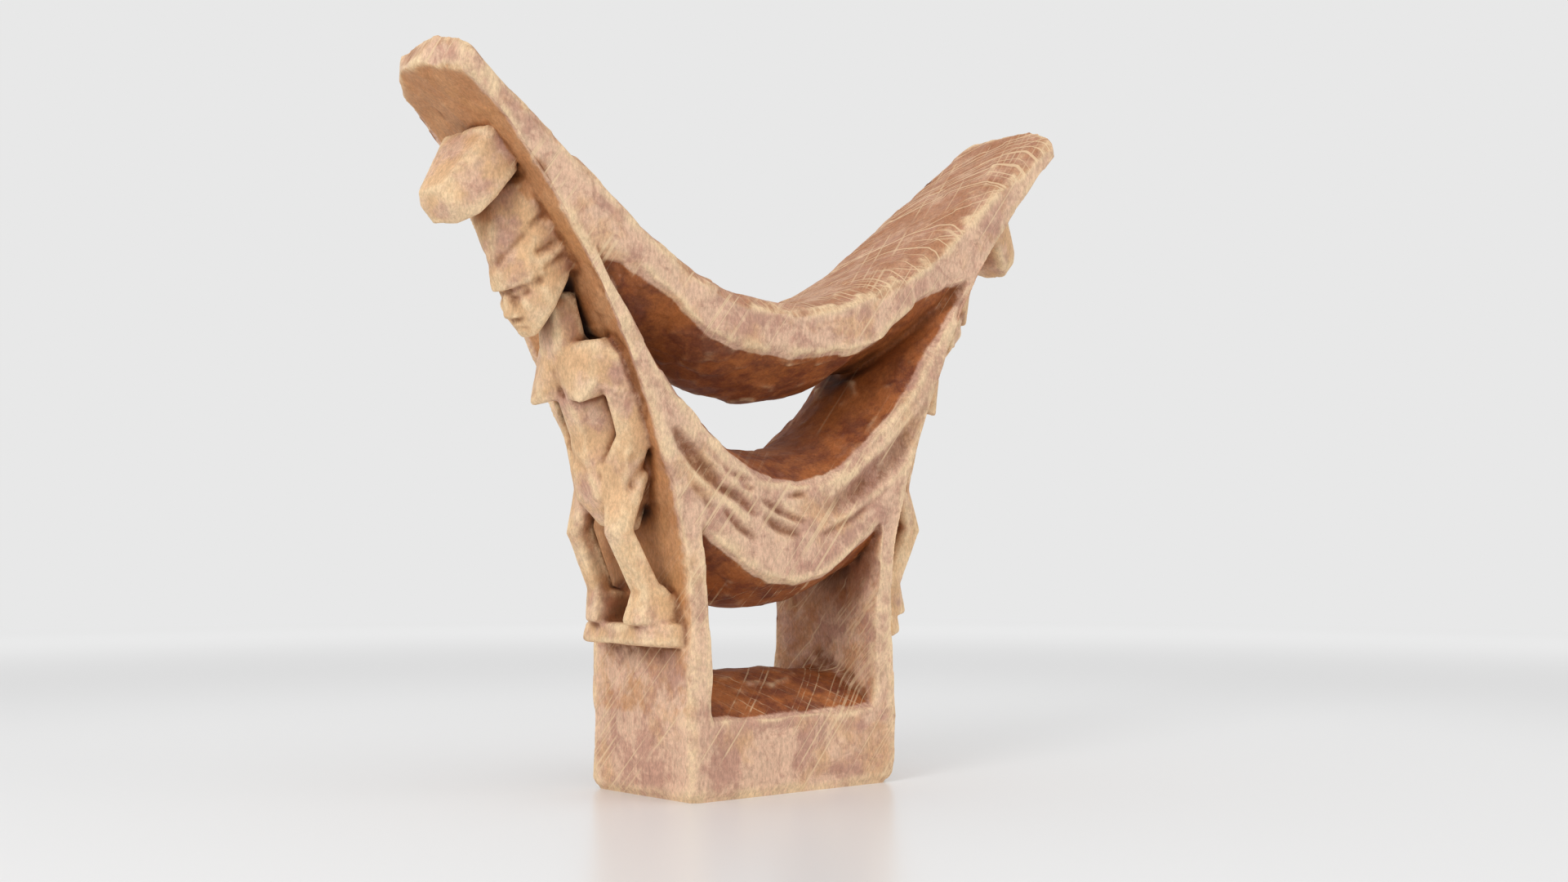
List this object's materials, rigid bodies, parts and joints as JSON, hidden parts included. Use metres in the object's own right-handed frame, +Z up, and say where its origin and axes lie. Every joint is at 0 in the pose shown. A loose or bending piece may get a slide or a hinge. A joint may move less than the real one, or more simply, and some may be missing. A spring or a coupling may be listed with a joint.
{
  "type": "carved wooden neckrest",
  "caption": "Carved wooden neckrest: a curved head saddle with raised wings over a crescent bar, a block foot, and a standing figure under each wing.",
  "frame": {"origin": "middle of the underside of the base block, on the surface it stands on", "axes": "+X along the curved rest from tip to tip, +Y from the front face to the back face, +Z up"},
  "size_m": [0.234, 0.047, 0.2061],
  "materials": {
    "board_wood": "hand-cut, unvarnished, mottled tan and mauve",
    "rest_wood": "scraped and worn smooth by use, light scratches",
    "figure_wood": "knife-faceted, unvarnished, dark in the recesses"
  },
  "bodies": {
    "root": {"base_block": "board_wood", "left_post": "board_wood", "right_post": "board_wood", "left_arm": "board_wood", "right_arm": "board_wood", "lower_crescent": "board_wood", "neck_saddle": "rest_wood", "left_wing": "rest_wood", "right_wing": "rest_wood", "left_plinth": "figure_wood", "left_near_leg": "figure_wood", "left_far_leg": "figure_wood", "left_torso": "figure_wood", "left_near_arm": "figure_wood", "left_far_arm": "figure_wood", "left_head": "figure_wood", "left_cap": "figure_wood", "left_lug": "figure_wood", "right_plinth": "figure_wood", "right_near_leg": "figure_wood", "right_far_leg": "figure_wood", "right_torso": "figure_wood", "right_near_arm": "figure_wood", "right_far_arm": "figure_wood", "right_head": "figure_wood", "right_cap": "figure_wood", "right_lug": "figure_wood"}
  },
  "joints": []
}
